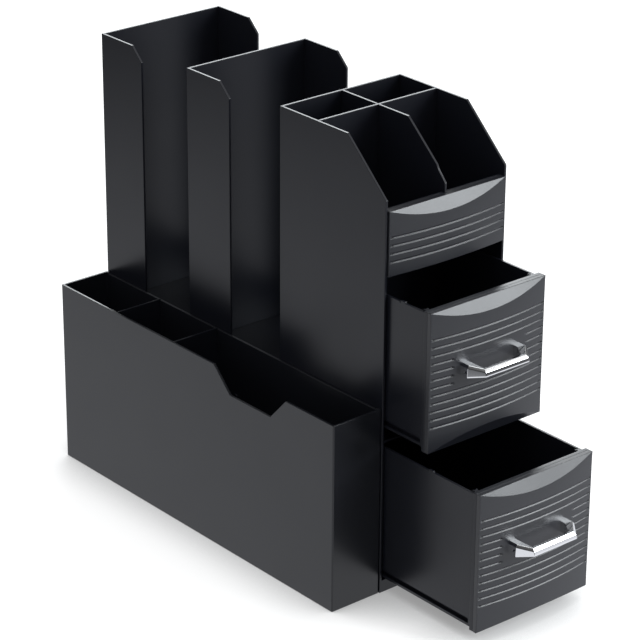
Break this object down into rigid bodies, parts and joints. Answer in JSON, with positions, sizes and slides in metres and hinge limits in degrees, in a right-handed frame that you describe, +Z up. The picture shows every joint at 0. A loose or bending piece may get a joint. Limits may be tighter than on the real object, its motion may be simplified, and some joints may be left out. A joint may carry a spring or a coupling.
{
  "type": "coffee station organizer",
  "caption": "Narrow coffee station organizer: open cup and lid wells behind a cabinet with divided top compartments and grooved drawers with chrome pulls, and a divided bin along one side.",
  "frame": {"origin": "on the standing surface, under the middle of the tower's width and depth, at the underside of the middle rubber pad", "axes": "+X to the object's right as seen from the drawer side, +Y from the drawers to the back, +Z up; the bin is on the -X side and the drawers open along -Y"},
  "size_m": [0.209, 0.5935, 0.454],
  "materials": {
    "body_plastic": "black moulded plastic with a soft sheen, fine even texture",
    "front_plastic": "black moulded plastic, satin, with fine ribs pressed in the face",
    "chrome": "bright chrome plating, polished facets",
    "screw_steel": "zinc plated steel screws",
    "rubber": "black soft rubber pads"
  },
  "bodies": {
    "organizer_body": {"rear_wall": "body_plastic", "middle_wall": "body_plastic", "cabinet_back_wall": "body_plastic", "mid_shelf": "body_plastic", "compartment_floor": "body_plastic", "compartment_front_wall": "body_plastic", "cross_divider": "body_plastic", "long_divider": "body_plastic", "base_plinth": "body_plastic", "left_side_panel": "body_plastic", "right_side_panel": "body_plastic", "fascia": "front_plastic", "fascia_screws": "screw_steel", "side_bin": "body_plastic", "bin_rear_divider": "body_plastic", "bin_front_divider": "body_plastic", "bin_rivets": "body_plastic", "rubber_pads": "rubber", "upper_left_runner": "body_plastic", "upper_right_runner": "body_plastic", "lower_left_runner": "body_plastic", "lower_right_runner": "body_plastic"},
    "upper_drawer": {"upper_tray": "body_plastic", "upper_front": "front_plastic", "upper_handle": "chrome", "upper_front_screws": "screw_steel", "upper_handle_screws": "screw_steel"},
    "lower_drawer": {"lower_tray": "body_plastic", "lower_front": "front_plastic", "lower_handle": "chrome", "lower_front_screws": "screw_steel", "lower_handle_screws": "screw_steel"}
  },
  "joints": [
    {"name": "upper_drawer_slide", "type": "slide", "parent": "organizer_body", "child": "upper_drawer", "axis": [0, -1, 0], "range_m": [-0.058, 0.037]},
    {"name": "lower_drawer_slide", "type": "slide", "parent": "organizer_body", "child": "lower_drawer", "axis": [0, -1, 0], "range_m": [-0.1295, 0.1705]}
  ]
}
